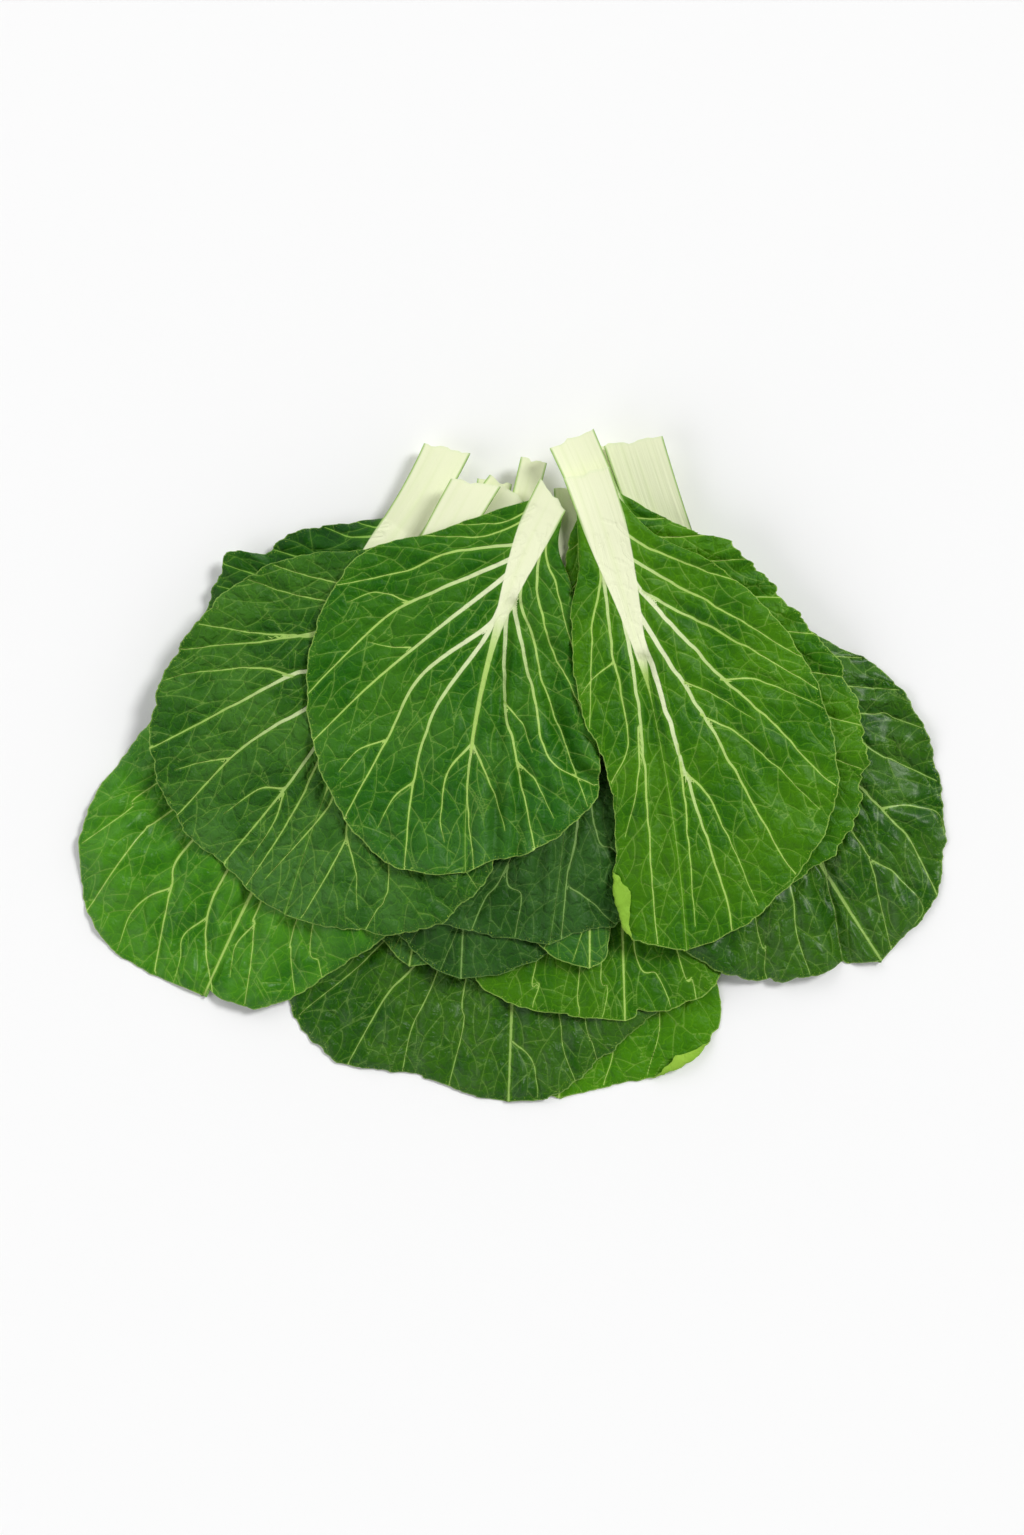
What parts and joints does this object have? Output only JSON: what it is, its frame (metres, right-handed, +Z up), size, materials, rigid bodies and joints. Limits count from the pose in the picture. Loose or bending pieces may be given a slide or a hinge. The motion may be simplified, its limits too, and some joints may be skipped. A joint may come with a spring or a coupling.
{
  "type": "bok choy",
  "caption": "Loose bok choy leaves laid flat in an overlapping fan, adaxial side up, with pale cut petioles meeting at one edge; a leafy vegetable for cooking.",
  "frame": {"origin": "middle of the fan's footprint, on the surface it lies on", "axes": "+Z up out of the surface, +Y towards the cut petioles, +X to the right seen from above"},
  "size_m": [0.4218, 0.3255, 0.0335],
  "materials": {
    "low_right_leaf": "waxy satin leaf blade, light green, with pale green veins and a white-green petiole",
    "low_centre_leaf": "waxy satin leaf blade, dark green, with pale green veins and a white-green petiole",
    "lower_right_leaf": "waxy satin leaf blade, light green, with pale green veins and a white-green petiole",
    "far_right_leaf": "waxy satin leaf blade, dark green, with pale green veins and a white-green petiole",
    "under_centre_leaf": "waxy satin leaf blade, mid green, with pale green veins and a white-green petiole",
    "under_left_leaf": "waxy satin leaf blade, dark green, with pale green veins and a white-green petiole",
    "under_right_leaf": "waxy satin leaf blade, light green, with pale green veins and a white-green petiole",
    "far_left_leaf": "waxy satin leaf blade, mid green, with pale green veins and a white-green petiole",
    "upper_left_leaf": "waxy satin leaf blade, dark green, with pale green veins and a white-green petiole",
    "centre_leaf": "waxy satin leaf blade, dark green, with pale green veins and a white-green petiole",
    "mid_left_leaf": "waxy satin leaf blade, dark green, with pale green veins and a white-green petiole",
    "mid_right_leaf": "waxy satin leaf blade, mid green, with pale green veins and a white-green petiole",
    "top_left_leaf": "waxy satin leaf blade, mid green, with pale green veins and a white-green petiole",
    "top_right_leaf": "waxy satin leaf blade, light green, with pale green veins and a white-green petiole"
  },
  "bodies": {
    "root": {"low_right": "low_right_leaf", "low_centre": "low_centre_leaf", "lower_right": "lower_right_leaf", "far_right": "far_right_leaf", "under_centre": "under_centre_leaf", "under_left": "under_left_leaf", "under_right": "under_right_leaf", "far_left": "far_left_leaf", "upper_left": "upper_left_leaf", "centre": "centre_leaf", "mid_left": "mid_left_leaf", "mid_right": "mid_right_leaf", "top_left": "top_left_leaf", "top_right": "top_right_leaf"}
  },
  "joints": []
}
